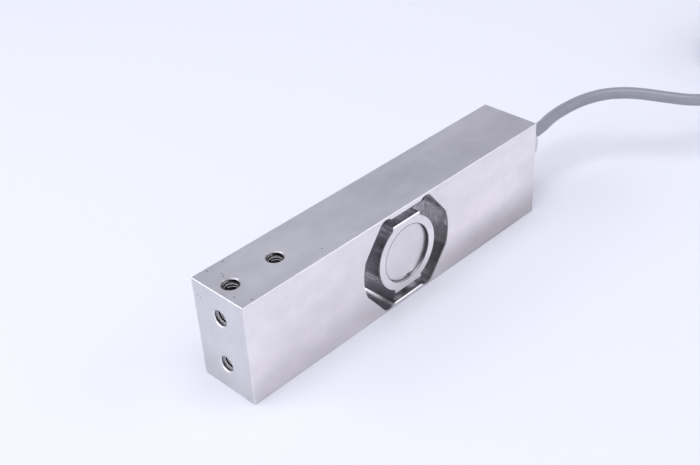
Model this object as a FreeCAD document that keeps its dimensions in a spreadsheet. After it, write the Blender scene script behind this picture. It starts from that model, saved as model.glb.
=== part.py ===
import FreeCAD, Part
import math
import os
import Sketcher

# Single point load cell: a stainless block milled into a parallel spring with a sealed gauge hub
# in its window, tapped holes at both ends and a cable gland with three metres of tied-up lead.
# Frame: X along the block with the gland at +X, the visible side at -Y, Z up, origin in the middle
# of the block's underside. Millimetres.

DIMENSIONS = {
    "block_length": 150.0,
    "block_width": 25.0,
    "block_height": 40.0,
    "edge_break": 0.2,
    "window_radius": 22.25,
    "window_arc_half_height": 7.6,
    "lobe_radius": 3.5,
    "lobe_half_spacing": 10.2,
    "flexure_thickness": 0.7,
    "beam_thickness": 1.8,
    "arm_thickness": 5.0,
    "arm_height": 16.0,
    "hub_radius": 14.4,
    "hub_pad_half_width": 6.9,
    "hub_pad_half_height": 14.1,
    "cover_bore_radius": 11.3,
    "cover_recess": 1.1,
    "cover_thickness": 1.0,
    "cover_bevel": 0.25,
    "cover_clearance": 0.04,
    "cavity_radius": 9.6,
    "web_thickness": 1.0,
    "thread_diameter": 6.0,
    "hole_mouth_diameter": 6.8,
    "hole_spacing": 19.0,
    "hole_from_end": 6.0,
    "top_hole_depth": 6.0,
    "end_hole_depth": 14.0,
    "bottom_hole_depth": 12.0,
    "gland_centre_height": 24.5,
    "gland_port_radius": 4.75,
    "gland_port_depth": 9.0,
    "thread_clearance": 0.05,
    "gland_shank_length": 7.5,
    "gland_flats": 13.0,
    "gland_washer_thickness": 0.8,
    "gland_washer_radius": 6.3,
    "gland_flange_thickness": 3.2,
    "gland_collar_radius": 4.5,
    "gland_collar_length": 4.5,
    "gland_seat_depth": 6.0,
    "gland_insert_radius": 3.6,
    "gland_ring_thickness": 0.5,
    "gland_nut_gap": 0.4,
    "gland_nut_length": 5.6,
    "gland_nose_length": 2.0,
    "gland_nose_radius": 4.6,
    "gland_nut_chamfer": 0.6,
    "gland_nose_step": 0.5,
    "gland_shoulder_step": 0.1,
    "wire_bore_radius": 1.5,
    "wire_notch_length": 4.7,
    "cable_diameter": 5.0,
    "cable_clearance": 0.1,
    "jacket_in_port": 7.0,
    "core_diameter": 0.95,
    "core_ring_radius": 0.95,
    "core_tip_diameter": 0.6,
    "core_tip_length": 6.0,
    "board_length": 9.0,
    "board_height": 5.0,
    "board_thickness": 0.8,
    "board_centre_rise": 4.4,
    "pad_pitch": 1.6,
    "pad_size": 1.1,
    "pad_thickness": 0.15,
    "gauge_length": 5.2,
    "gauge_width": 3.4,
    "gauge_thickness": 0.1,
    "gauge_drop": 3.2,
    "gauge_half_spacing": 3.1,
    "gauge_angle": 45.0,
    "grid_margin": 0.6,
    "grid_thickness": 0.06,
    "resistor_length": 1.6,
    "resistor_width": 0.8,
    "resistor_height": 0.5,
    "coil_mid_radius": 20.5,
    "coil_run": 32.0,
    "coil_columns": 3.0,
    "coil_layers": 5.0,
    "coil_from_gland": 170.0,
    "coil_centre_y": -20.0,
    "coil_entry_length": 22.0,
    "tail_length": 12.0,
    "tie_thickness": 1.2,
    "tie_width": 3.6,
    "tie_head_length": 6.6,
    "tie_head_width": 5.6,
    "tie_head_depth": 4.4,
    "tie_head_chamfer": 0.6,
    "tie_tail_length": 11.0,
    "sleeve_radius": 3.0,
    "sleeve_on_jacket": 6.0,
    "sleeve_past_jacket": 5.0,
    "drain_diameter": 0.9,
    "lying_gap": 0.05,
}

CORE_NAMES = ("green", "white", "yellow", "red", "black", "blue")

doc = FreeCAD.newDocument("single_point_load_cell")
sheet = doc.addObject("Spreadsheet::Sheet", "dims")
for row, (alias, size) in enumerate(DIMENSIONS.items(), start=1):
    sheet.set(f"A{row}", alias)
    sheet.set(f"B{row}", str(size))
    sheet.setAlias(f"B{row}", alias)
doc.recompute()

sub_parts = []


def dim(alias):
    """The number in the sheet under this alias."""
    return float(sheet.get(alias))


def number(expression):
    """The value of an expression written with the sheet's aliases."""
    return float(doc.getObject("dims").evalExpression(expression.replace("dims.", "")))


def vector(x, y, z=0.0):
    return FreeCAD.Vector(x, y, z)


def keep(obj, label):
    """Name a finished sub-part and put it on the list that is written out."""
    obj.Label = label
    sub_parts.append(obj)
    return obj


def place(obj, x="0", y="0", z="0", axis=(0, 0, 1), angle=0.0):
    """Place an object with its position bound to the sheet."""
    obj.Placement = FreeCAD.Placement(vector(0, 0), FreeCAD.Rotation(vector(*axis), angle))
    for letter, expression in (("x", x), ("y", y), ("z", z)):
        if expression != "0":
            obj.setExpression(f"Placement.Base.{letter}", expression)
    return obj


# Sketch helpers

def new_body(name):
    body = doc.addObject("PartDesign::Body", name)
    body.AllowCompound = False
    return body


def new_sketch(body, name, role, height="0", centre_rise="0"):
    """A sketch on one of the body's origin planes, moved along its normal and up its own V axis."""
    sketch = body.newObject("Sketcher::SketchObject", name)
    plane = [item for item in body.Origin.OriginFeatures if item.Role == role][0]
    sketch.AttachmentSupport = [(plane, "")]
    sketch.MapMode = "FlatFace"
    if centre_rise != "0":
        sketch.setExpression("AttachmentOffset.Base.y", centre_rise)
    if height != "0":
        sketch.setExpression("AttachmentOffset.Base.z", height)
    return sketch


def fix(sketch, constraint, expression, name):
    """Add a dimension to a sketch and bind it to the sheet."""
    index = sketch.addConstraint(constraint)
    sketch.renameConstraint(index, name)
    sketch.setExpression(f"Constraints.{name}", expression)


def fix_point(sketch, geometry, point, x, y, name):
    """Hold one point of a sketch at two bound coordinates."""
    if x == "0":
        sketch.addConstraint(Sketcher.Constraint("PointOnObject", geometry, point, -2))
    else:
        fix(sketch, Sketcher.Constraint("DistanceX", -1, 1, geometry, point, number(x)), x, name + "_x")
    if y == "0":
        sketch.addConstraint(Sketcher.Constraint("PointOnObject", geometry, point, -1))
    else:
        fix(sketch, Sketcher.Constraint("DistanceY", -1, 1, geometry, point, number(y)), y, name + "_y")


def polygon(sketch, corners):
    """A closed outline of straight lines through corners given as pairs of expressions."""
    points = [vector(number(x), number(y)) for x, y in corners]
    first = sketch.GeometryCount
    count = len(points)
    for i in range(count):
        sketch.addGeometry(Part.LineSegment(points[i], points[(i + 1) % count]))
    for i in range(count):
        sketch.addConstraint(Sketcher.Constraint("Coincident", first + i, 2, first + (i + 1) % count, 1))
        fix_point(sketch, first + i, 1, corners[i][0], corners[i][1], f"corner{first + i}")


def circle(sketch, radius, x="0", y="0"):
    """A circle with its radius and centre bound to the sheet."""
    index = sketch.GeometryCount
    centre = vector(number(x), number(y))
    sketch.addGeometry(Part.Circle(centre, vector(0, 0, 1), number(radius)))
    fix_point(sketch, index, 3, x, y, f"centre{index}")
    fix(sketch, Sketcher.Constraint("Radius", index, number(radius)), radius, f"radius{index}")


def arc_between(centre, radius, start_angle, end_angle):
    whole = Part.Circle(centre, vector(0, 0, 1), radius)
    return Part.ArcOfCircle(whole, start_angle, end_angle)


def window_outline(sketch):
    """The milled window about its own centre: side arcs, slanted flanks and four flexure lobes."""
    radius = dim("window_radius")
    arc_half = dim("window_arc_half_height")
    lobe = dim("lobe_radius")
    lobe_x = dim("lobe_half_spacing")
    lobe_rise = number(LOBE_RISE)
    flat_rise = number(FLAT_RISE)
    end_angle = math.asin(arc_half / radius)
    corner = vector(radius * math.cos(end_angle), arc_half)
    reach = math.hypot(lobe_x - corner.x, lobe_rise - corner.y)
    aim = math.atan2(lobe_rise - corner.y, lobe_x - corner.x) - math.asin(lobe / reach)
    flank = math.sqrt(reach * reach - lobe * lobe)
    touch = vector(corner.x + flank * math.cos(aim), corner.y + flank * math.sin(aim))
    touch_angle = math.atan2(touch.y - lobe_rise, touch.x - lobe_x)
    meet_angle = math.pi - math.asin((flat_rise - lobe_rise) / lobe)
    meet = vector(lobe_x + lobe * math.cos(meet_angle), flat_rise)
    centre = vector(0, 0)
    outline = {
        "right": arc_between(centre, radius, -end_angle, end_angle),
        "upper_right": Part.LineSegment(corner, touch),
        "top_lobe_right": arc_between(vector(lobe_x, lobe_rise), lobe, touch_angle, meet_angle),
        "top": Part.LineSegment(meet, vector(-meet.x, meet.y)),
        "top_lobe_left": arc_between(
            vector(-lobe_x, lobe_rise), lobe, math.pi - meet_angle, math.pi - touch_angle),
        "upper_left": Part.LineSegment(vector(-touch.x, touch.y), vector(-corner.x, corner.y)),
        "left": arc_between(centre, radius, math.pi - end_angle, math.pi + end_angle),
        "lower_left": Part.LineSegment(
            vector(-corner.x, -corner.y), vector(-touch.x, -touch.y)),
        "bottom_lobe_left": arc_between(
            vector(-lobe_x, -lobe_rise), lobe, math.pi + touch_angle, math.pi + meet_angle),
        "bottom": Part.LineSegment(vector(-meet.x, -meet.y), vector(meet.x, -meet.y)),
        "bottom_lobe_right": arc_between(
            vector(lobe_x, -lobe_rise), lobe, 2 * math.pi - meet_angle, 2 * math.pi - touch_angle),
        "lower_right": Part.LineSegment(vector(touch.x, -touch.y), vector(corner.x, -corner.y)),
    }
    for piece in outline.values():
        sketch.addGeometry(piece)
    names = list(outline)
    tangent_joints = (
        ("upper_right", "top_lobe_right"), ("top_lobe_left", "upper_left"),
        ("lower_left", "bottom_lobe_left"), ("bottom_lobe_right", "lower_right"))
    for joint in zip(names, names[1:] + names[:1]):
        kind = "Tangent" if joint in tangent_joints else "Coincident"
        before, after = [names.index(name) for name in joint]
        sketch.addConstraint(Sketcher.Constraint(kind, before, 2, after, 1))
    right = names.index("right")
    left = names.index("left")
    for side in (right, left):
        sketch.addConstraint(Sketcher.Constraint("Coincident", side, 3, -1, 1))
    fix(sketch, Sketcher.Constraint("Radius", right, radius), "dims.window_radius", "side_radius")
    sketch.addConstraint(Sketcher.Constraint("Equal", right, left))
    for index, point, sign in ((right, 2, "1"), (right, 1, "-1"), (left, 1, "1"), (left, 2, "-1")):
        height = f"{sign} * dims.window_arc_half_height"
        fix(sketch, Sketcher.Constraint("DistanceY", -1, 1, index, point, number(height)), height,
            f"arc_end{index}_{point}")
    lobes = (
        ("top_lobe_right", "1", "1"), ("top_lobe_left", "-1", "1"),
        ("bottom_lobe_left", "-1", "-1"), ("bottom_lobe_right", "1", "-1"))
    for name, side, up in lobes:
        index = names.index(name)
        fix(sketch, Sketcher.Constraint("Radius", index, lobe), "dims.lobe_radius", f"lobe_radius{index}")
        fix_point(sketch, index, 3, f"{side} * dims.lobe_half_spacing", f"{up} * ({LOBE_RISE})",
                  f"lobe{index}")
    for name, up in (("top", "1"), ("bottom", "-1")):
        index = names.index(name)
        sketch.addConstraint(Sketcher.Constraint("Horizontal", index))
        rise = f"{up} * ({FLAT_RISE})"
        fix(sketch, Sketcher.Constraint("DistanceY", -1, 1, index, 1, number(rise)), rise, f"flat{index}")


def hub_outline(sketch):
    """The hub about its own centre: a disc with a flat pad above and below."""
    radius = dim("hub_radius")
    pad_x = dim("hub_pad_half_width")
    pad_y = dim("hub_pad_half_height")
    step_y = math.sqrt(radius * radius - pad_x * pad_x)
    turn = math.atan2(step_y, pad_x)
    centre = vector(0, 0)
    corners = [(pad_x, step_y), (pad_x, pad_y), (-pad_x, pad_y), (-pad_x, step_y)]
    upper = [vector(*corner) for corner in corners]
    lower = [vector(-corner.x, -corner.y) for corner in upper]
    outline = [
        arc_between(centre, radius, -turn, turn),
        Part.LineSegment(upper[0], upper[1]),
        Part.LineSegment(upper[1], upper[2]),
        Part.LineSegment(upper[2], upper[3]),
        arc_between(centre, radius, math.pi - turn, math.pi + turn),
        Part.LineSegment(lower[0], lower[1]),
        Part.LineSegment(lower[1], lower[2]),
        Part.LineSegment(lower[2], lower[3]),
    ]
    for piece in outline:
        sketch.addGeometry(piece)
    for i in range(8):
        sketch.addConstraint(Sketcher.Constraint("Coincident", i, 2, (i + 1) % 8, 1))
    for side in (0, 4):
        sketch.addConstraint(Sketcher.Constraint("Coincident", side, 3, -1, 1))
    fix(sketch, Sketcher.Constraint("Radius", 0, radius), "dims.hub_radius", "hub_radius")
    sketch.addConstraint(Sketcher.Constraint("Equal", 0, 4))
    for index, side in ((1, "1"), (3, "-1"), (5, "-1"), (7, "1")):
        sketch.addConstraint(Sketcher.Constraint("Vertical", index))
        across = f"{side} * dims.hub_pad_half_width"
        fix(sketch, Sketcher.Constraint("DistanceX", -1, 1, index, 1, number(across)), across, f"pad{index}")
    for index, up in ((2, "1"), (6, "-1")):
        sketch.addConstraint(Sketcher.Constraint("Horizontal", index))
        rise = f"{up} * dims.hub_pad_half_height"
        fix(sketch, Sketcher.Constraint("DistanceY", -1, 1, index, 1, number(rise)), rise, f"pad_top{index}")


# Feature helpers

def pad(body, sketch, length, symmetric=False, reverse=False):
    feature = body.newObject("PartDesign::Pad", "Pad_" + sketch.Name)
    feature.Profile = sketch
    feature.SideType = "Symmetric" if symmetric else "One side"
    feature.Reversed = reverse
    feature.setExpression("Length", length)
    doc.recompute()
    return feature


def cut_volume(body, make):
    """Make a cutting feature and stop if it took nothing off the body."""
    before = body.Shape.Volume
    feature = make()
    doc.recompute()
    if not body.Shape.Volume < before - 1e-6:
        raise ValueError(f"{feature.Name} cuts nothing")
    return feature


def pocket(body, sketch, depth=None, symmetric=False, reverse=False):
    """A pocket of the given depth, or right through when no depth is given."""
    def make():
        feature = body.newObject("PartDesign::Pocket", "Pocket_" + sketch.Name)
        feature.Profile = sketch
        feature.SideType = "Symmetric" if symmetric else "One side"
        feature.Reversed = reverse
        if depth is None:
            feature.Type = "ThroughAll"
        else:
            feature.setExpression("Length", depth)
        return feature
    return cut_volume(body, make)


def drill(body, sketch, depth, reverse=False, flat_bottom=False):
    """Tapped holes, bored to the thread's outer size below a countersunk mouth, at each circle."""
    def make():
        feature = body.newObject("PartDesign::Hole", "Hole_" + sketch.Name)
        feature.Profile = sketch
        feature.ThreadType = "None"
        feature.DepthType = "Dimension"
        feature.HoleCutType = "Countersink"
        feature.HoleCutCountersinkAngle = 90.0
        feature.DrillPoint = "Flat" if flat_bottom else "Angled"
        feature.Reversed = reverse
        feature.setExpression("Diameter", "dims.thread_diameter")
        feature.setExpression("HoleCutDiameter", "dims.hole_mouth_diameter")
        feature.setExpression("Depth", depth)
        return feature
    return cut_volume(body, make)


def revolve(body, sketch):
    feature = body.newObject("PartDesign::Revolution", "Revolution_" + sketch.Name)
    feature.Profile = sketch
    feature.ReferenceAxis = (sketch, ["V_Axis"])
    feature.Angle = 360.0
    doc.recompute()
    return feature


def groove(body, sketch):
    def make():
        feature = body.newObject("PartDesign::Groove", "Groove_" + sketch.Name)
        feature.Profile = sketch
        feature.ReferenceAxis = (sketch, ["V_Axis"])
        feature.Angle = 360.0
        return feature
    return cut_volume(body, make)


# Heights and depths that several pieces share

MID_HEIGHT = "dims.block_height / 2"
HALF_WIDTH = "dims.block_width / 2"
HALF_LENGTH = "dims.block_length / 2"
LOBE_RISE = "dims.block_height / 2 - dims.flexure_thickness - dims.lobe_radius"
FLAT_RISE = "dims.block_height / 2 - dims.beam_thickness"
COVER_SEAT = "dims.cover_recess + dims.cover_thickness"
CAVITY_DEPTH = "dims.block_width / 2 - dims.web_thickness / 2"
FIRST_HOLE = "dims.block_length / 2 - dims.hole_from_end"
SECOND_HOLE = "dims.block_length / 2 - dims.hole_from_end - dims.hole_spacing"
FLANGE_TOP = "dims.gland_washer_thickness + dims.gland_flange_thickness"
COLLAR_TOP = "dims.gland_washer_thickness + dims.gland_flange_thickness + dims.gland_collar_length"
NUT_START = "dims.gland_washer_thickness + dims.gland_flange_thickness + dims.gland_nut_gap"
NUT_HEX_END = NUT_START + " + dims.gland_nut_length"
NOSE_END = NUT_HEX_END + " + dims.gland_nose_length"
SEAT_LEVEL = COLLAR_TOP + " - dims.gland_seat_depth"


# Measuring body

def make_measuring_body():
    body = new_body("MeasuringBody")
    side = new_sketch(body, "BlockSide", "XZ_Plane")
    polygon(side, (
        ("-dims.block_length / 2", "0"), (HALF_LENGTH, "0"),
        (HALF_LENGTH, "dims.block_height"), ("-dims.block_length / 2", "dims.block_height")))
    block = pad(body, side, "dims.block_width", symmetric=True)
    broken = body.newObject("PartDesign::Chamfer", "EdgeBreak")
    broken.Base = (block, [f"Edge{i + 1}" for i in range(len(block.Shape.Edges))])
    broken.setExpression("Size", "dims.edge_break")
    doc.recompute()

    window = new_sketch(body, "Window", "XZ_Plane", centre_rise=MID_HEIGHT)
    window_outline(window)
    pocket(body, window, symmetric=True)

    arms = new_sketch(body, "Arms", "XZ_Plane", centre_rise=MID_HEIGHT)
    reach = "dims.window_radius + dims.beam_thickness"
    polygon(arms, (
        (f"-({reach})", "-dims.arm_height / 2"), (reach, "-dims.arm_height / 2"),
        (reach, "dims.arm_height / 2"), (f"-({reach})", "dims.arm_height / 2")))
    pad(body, arms, "dims.arm_thickness", symmetric=True)

    hub = new_sketch(body, "Hub", "XZ_Plane", centre_rise=MID_HEIGHT)
    hub_outline(hub)
    pad(body, hub, "dims.block_width", symmetric=True)

    for name, face, away in (("Front", HALF_WIDTH, False), ("Back", f"-({HALF_WIDTH})", True)):
        seat = new_sketch(body, name + "CoverSeat", "XZ_Plane", face, MID_HEIGHT)
        circle(seat, "dims.cover_bore_radius")
        pocket(body, seat, COVER_SEAT, reverse=away)
        cavity = new_sketch(body, name + "Cavity", "XZ_Plane", face, MID_HEIGHT)
        circle(cavity, "dims.cavity_radius")
        pocket(body, cavity, CAVITY_DEPTH, reverse=away)

    hole = "dims.thread_diameter / 2"
    top = new_sketch(body, "TopHoles", "XY_Plane", "dims.block_height")
    circle(top, hole, f"-({FIRST_HOLE})")
    circle(top, hole, f"-({SECOND_HOLE})")
    drill(body, top, "dims.top_hole_depth", flat_bottom=True)

    bottom = new_sketch(body, "BottomHoles", "XY_Plane")
    circle(bottom, hole, FIRST_HOLE)
    circle(bottom, hole, SECOND_HOLE)
    drill(body, bottom, "dims.bottom_hole_depth", reverse=True)

    end = new_sketch(body, "EndHoles", "YZ_Plane", f"-({HALF_LENGTH})")
    circle(end, hole, y="dims.block_height / 2 + dims.hole_spacing / 2")
    circle(end, hole, y="dims.block_height / 2 - dims.hole_spacing / 2")
    drill(body, end, "dims.end_hole_depth", reverse=True)

    port = new_sketch(body, "GlandPort", "YZ_Plane", HALF_LENGTH)
    circle(port, "dims.gland_port_radius", y="dims.gland_centre_height")
    pocket(body, port, "dims.gland_port_depth")

    wire_bore = new_sketch(body, "WireBore", "YZ_Plane", HALF_LENGTH)
    circle(wire_bore, "dims.wire_bore_radius", y="dims.gland_centre_height")
    pocket(body, wire_bore,
           "dims.block_length / 2 - dims.cavity_radius + dims.wire_notch_length")
    return keep(body, "measuring_body")


def make_cover(label, front):
    """A round cover plate with a bevelled rim, welded into the hub's mouth."""
    body = new_body(label.title().replace("_", ""))
    profile = new_sketch(body, "Profile" + body.Name, "XZ_Plane")
    rim = "dims.cover_bore_radius - dims.cover_clearance"
    polygon(profile, (
        ("0", "0"), (rim, "0"), (rim, "dims.cover_thickness - dims.cover_bevel"),
        (f"{rim} - dims.cover_bevel", "dims.cover_thickness"), ("0", "dims.cover_thickness")))
    revolve(body, profile)
    seat = f"({HALF_WIDTH} - ({COVER_SEAT}))"
    place(body, y=f"-{seat}" if front else seat, z=MID_HEIGHT, axis=(1, 0, 0),
          angle=90.0 if front else -90.0)
    return keep(body, label)


# Strain gauges and terminal boards on the hub's web

def web_face(front, lift="0"):
    """The Y of the web's face on one side, with an amount in front of it."""
    side = "-1" if front else "1"
    return f"{side} * (dims.web_thickness / 2 + {lift})"


def make_gauge(label, front, side):
    """A foil gauge: a thin carrier with its measuring grid on top, turned to the shear direction."""
    body = new_body("".join(word.title() for word in label.split("_")))
    carrier = new_sketch(body, "Carrier" + body.Name, "XY_Plane")
    half_l = "dims.gauge_length / 2"
    half_w = "dims.gauge_width / 2"
    polygon(carrier, ((f"-{half_l}", f"-{half_w}"), (half_l, f"-{half_w}"),
                      (half_l, half_w), (f"-{half_l}", half_w)))
    pad(body, carrier, "dims.gauge_thickness")
    grid = new_sketch(body, "Grid" + body.Name, "XY_Plane", "dims.gauge_thickness")
    grid_l = f"({half_l} - dims.grid_margin)"
    grid_w = f"({half_w} - dims.grid_margin)"
    polygon(grid, ((f"-{grid_l}", f"-{grid_w}"), (grid_l, f"-{grid_w}"),
                   (grid_l, grid_w), (f"-{grid_l}", grid_w)))
    pad(body, grid, "dims.grid_thickness")
    facing = FreeCAD.Rotation(vector(1, 0, 0), 90.0 if front else -90.0)
    lean = dim("gauge_angle") * side
    turned = FreeCAD.Rotation(vector(0, 1, 0), -lean).multiply(facing)
    body.Placement = FreeCAD.Placement(vector(0, 0), turned)
    body.setExpression("Placement.Base.x", f"{side} * dims.gauge_half_spacing")
    body.setExpression("Placement.Base.y", web_face(front))
    body.setExpression("Placement.Base.z", f"{MID_HEIGHT} - dims.gauge_drop")
    return keep(body, label)


BOARD_CENTRE = MID_HEIGHT + " + dims.board_centre_rise"
BOARD_RIGHT = "dims.board_length / 2"


def make_box(label, length, width, height, x, y, z):
    box = doc.addObject("Part::Box", "Box" + label.title().replace("_", ""))
    for name, expression in (("Length", length), ("Width", width), ("Height", height)):
        box.setExpression(name, expression)
    place(box, x, y, z)
    return box


def make_board(label, front):
    y = web_face(front, "dims.board_thickness") if front else web_face(front)
    board = make_box(label, "dims.board_length", "dims.board_thickness", "dims.board_height",
                     "-dims.board_length / 2", y, f"{BOARD_CENTRE} - dims.board_height / 2")
    return keep(board, label)


def fused(name, pieces):
    fusion = doc.addObject("Part::MultiFuse", name)
    fusion.Shapes = pieces
    return fusion


def make_pads(label, front):
    """The solder pads that the cores end on, one above the other on a board."""
    y = web_face(front, "dims.board_thickness + dims.pad_thickness")
    if not front:
        y = web_face(front, "dims.board_thickness")
    pads = []
    for step in (-1, 0, 1):
        z = f"{BOARD_CENTRE} + {step} * dims.pad_pitch - dims.pad_size / 2"
        x = f"{BOARD_RIGHT} - 2 * dims.pad_size"
        pads.append(make_box(f"{label}_{step + 1}", "dims.pad_size", "dims.pad_thickness",
                             "dims.pad_size", x, y, z))
    return keep(fused("Fused" + label.title().replace("_", ""), pads), label)


def make_resistor(label, front):
    """A trimming resistor on the board's left half."""
    y = web_face(front, "dims.board_thickness + dims.resistor_height")
    if not front:
        y = web_face(front, "dims.board_thickness")
    resistor = make_box(label, "dims.resistor_length", "dims.resistor_height",
                        "dims.resistor_width", "-dims.board_length / 4 - dims.resistor_length / 2",
                        y, f"{BOARD_CENTRE} - dims.resistor_width / 2")
    return keep(resistor, label)


# Cable gland, each piece along its own Z with the block's end face at zero

def place_on_gland(obj):
    place(obj, HALF_LENGTH, "0", "dims.gland_centre_height", axis=(0, 1, 0), angle=90.0)


def ring_profile(body, inner, outer, bottom, top):
    sketch = new_sketch(body, "Ring" + body.Name, "XZ_Plane")
    polygon(sketch, ((inner, bottom), (outer, bottom), (outer, top), (inner, top)))
    return sketch


def make_ring(label, inner, outer, bottom, top):
    body = new_body(label.title().replace("_", ""))
    revolve(body, ring_profile(body, inner, outer, bottom, top))
    place_on_gland(body)
    return keep(body, label)


CABLE_RADIUS = "dims.cable_diameter / 2"
CABLE_HOLE = "(dims.cable_diameter / 2 + dims.cable_clearance)"
SHANK_RADIUS = "(dims.gland_port_radius - dims.thread_clearance)"
HEX_CORNER = "dims.gland_flats / sqrt(3)"


def hexagon(sketch, radius):
    corners = []
    for step in range(6):
        corners.append((f"{radius} * cos({60 * step})", f"{radius} * sin({60 * step})"))
    polygon(sketch, corners)


def make_gland_body():
    """Threaded shank, hexagon flange and the collar that holds the sealing insert."""
    body = new_body("GlandBody")
    flange = new_sketch(body, "Flange", "XY_Plane", "dims.gland_washer_thickness")
    hexagon(flange, HEX_CORNER)
    pad(body, flange, "dims.gland_flange_thickness")
    for name, radius, level, length, down in (
            ("Shank", SHANK_RADIUS, "dims.gland_washer_thickness",
             "dims.gland_shank_length + dims.gland_washer_thickness", True),
            ("Collar", "dims.gland_collar_radius", FLANGE_TOP, "dims.gland_collar_length", False)):
        sketch = new_sketch(body, name, "XY_Plane", level)
        circle(sketch, radius)
        pad(body, sketch, length, reverse=down)
    hollow = new_sketch(body, "Hollow", "XZ_Plane")
    low = "-dims.gland_shank_length - 1"
    high = f"{COLLAR_TOP} + 1"
    polygon(hollow, (
        ("0", low), (CABLE_HOLE, low), (CABLE_HOLE, SEAT_LEVEL),
        ("dims.gland_insert_radius", SEAT_LEVEL), ("dims.gland_insert_radius", high), ("0", high)))
    groove(body, hollow)
    place_on_gland(body)
    return keep(body, "gland_body")


def make_gland_nut():
    """Hexagon dome nut with a chamfered shoulder, a rounded nose and a stepped bore."""
    body = new_body("GlandNut")
    hexagon_sketch = new_sketch(body, "NutHexagon", "XY_Plane", NUT_START)
    hexagon(hexagon_sketch, HEX_CORNER)
    pad(body, hexagon_sketch, "dims.gland_nut_length")
    nose = new_sketch(body, "Nose", "XZ_Plane")
    polygon(nose, (
        ("0", NUT_HEX_END + " - 1"), ("dims.gland_flats / 2 - dims.gland_nose_step", NUT_HEX_END + " - 1"),
        ("dims.gland_flats / 2 - dims.gland_nose_step", NUT_HEX_END),
        ("(dims.gland_flats / 2 + dims.gland_nose_radius) / 2",
         NUT_HEX_END + " + dims.gland_nose_length * 0.6"),
        ("dims.gland_nose_radius", NOSE_END), ("0", NOSE_END)))
    revolve(body, nose)
    shoulder = new_sketch(body, "Shoulder", "XZ_Plane")
    corner = f"({HEX_CORNER})"
    polygon(shoulder, (
        (f"{corner} + 1", NUT_HEX_END + " - dims.gland_nut_chamfer"),
        (f"{corner} + 1", NUT_HEX_END + " + 1"),
        ("dims.gland_flats / 2 - dims.gland_shoulder_step", NUT_HEX_END + " + 1"),
        ("dims.gland_flats / 2 - dims.gland_shoulder_step", NUT_HEX_END),
        (corner, NUT_HEX_END + " - dims.gland_nut_chamfer")))
    groove(body, shoulder)
    bore = new_sketch(body, "NutBore", "XZ_Plane")
    thread = "(dims.gland_collar_radius + dims.thread_clearance)"
    ring_top = f"{COLLAR_TOP} + dims.gland_ring_thickness"
    polygon(bore, (
        ("0", NUT_START + " - 1"), (thread, NUT_START + " - 1"), (thread, ring_top),
        (CABLE_HOLE, ring_top), (CABLE_HOLE, NOSE_END + " + 1"), ("0", NOSE_END + " + 1")))
    groove(body, bore)
    place_on_gland(body)
    return keep(body, "gland_nut")


# Tubes along straight runs joined by tangent arcs

def bend_radius(a, b, c):
    """The arc radius at b: 0.45 of the shorter run, divided by the tangent of half the turn."""
    first = b - a
    second = c - b
    half_turn = first.getAngle(second) / 2
    return 0.45 * min(first.Length, second.Length) / math.tan(half_turn)


def rounded_path(points):
    """A wire of straight runs and tangent arcs through the points, and its length."""
    edges = []
    here = points[0]
    for a, b, c in zip(points, points[1:], points[2:]):
        into = (b - a).normalize()
        out = (c - b).normalize()
        back = 0.45 * min((b - a).Length, (c - b).Length)
        start = b - into * back
        end = b + out * back
        radius = bend_radius(a, b, c)
        bisector = (out - into).normalize()
        to_centre = math.hypot(radius, back)
        middle = b + bisector * (to_centre - radius)
        edges.append(Part.LineSegment(here, start).toShape())
        edges.append(Part.Arc(start, middle, end).toShape())
        here = end
    edges.append(Part.LineSegment(here, points[-1]).toShape())
    wire = Part.Wire(edges)
    return wire, wire.Length


def tube_shape(points, radius):
    """A round tube along a route, checked against its section times its length."""
    wire, length = rounded_path(points)
    section = Part.Wire(Part.Circle(points[0], points[1] - points[0], radius).toShape())
    shape = wire.makePipeShell([section], True, False)
    expected = math.pi * radius * radius * length
    if abs(shape.Volume - expected) > 0.01 * expected:
        raise ValueError("a tube's volume is not its section times its length")
    return shape, length


def report_radii(label, points, length):
    radii = [bend_radius(a, b, c) for a, b, c in zip(points, points[1:], points[2:])]
    print(f"{label}: length {length:.1f} mm, radii", " ".join(f"{r:.0f}" for r in radii))


def add_shape(label, shape):
    feature = doc.addObject("Part::Feature", "Shape" + label.title().replace("_", ""))
    feature.Shape = shape
    return keep(feature, label)


def make_tube(label, points, radius):
    shape, length = tube_shape(points, radius)
    report_radii(label, points, length)
    return add_shape(label, shape), length


def core_offsets():
    """The six cores' places round the cable's axis, as pairs of Y and Z."""
    ring = dim("core_ring_radius")
    angles = [math.radians(60 * step) for step in range(6)]
    return [(ring * math.cos(angle), ring * math.sin(angle)) for angle in angles]


def make_inner_core(name, offset):
    """One core from the jacket's end through the wire bore to its pad on the near board."""
    side_y, rise = offset
    front = side_y < 0
    out = -1.0 if front else 1.0
    axis_z = dim("gland_centre_height")
    start_x = dim("block_length") / 2 - dim("jacket_in_port")
    wall_x = math.sqrt(dim("cavity_radius") ** 2 - (axis_z - dim("block_height") / 2) ** 2)
    mouth_x = wall_x - 1.5 * dim("core_diameter")
    surface = dim("web_thickness") / 2 + dim("board_thickness") + dim("pad_thickness")
    pad_y = out * (surface + dim("core_diameter") / 2)
    step = round(rise / (dim("core_ring_radius") * math.sin(math.radians(60))))
    pad_z = number(BOARD_CENTRE) + step * dim("pad_pitch")
    pad_x = number(BOARD_RIGHT) - 1.5 * dim("pad_size")
    turn_x = number(BOARD_RIGHT) + dim("core_diameter") / 2
    points = [
        vector(start_x, side_y, axis_z + rise), vector(mouth_x, side_y, axis_z + rise),
        vector(turn_x, pad_y, pad_z), vector(pad_x, pad_y, pad_z)]
    label = "inner_core_" + name
    return make_tube(label, points, dim("core_diameter") / 2)


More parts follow.
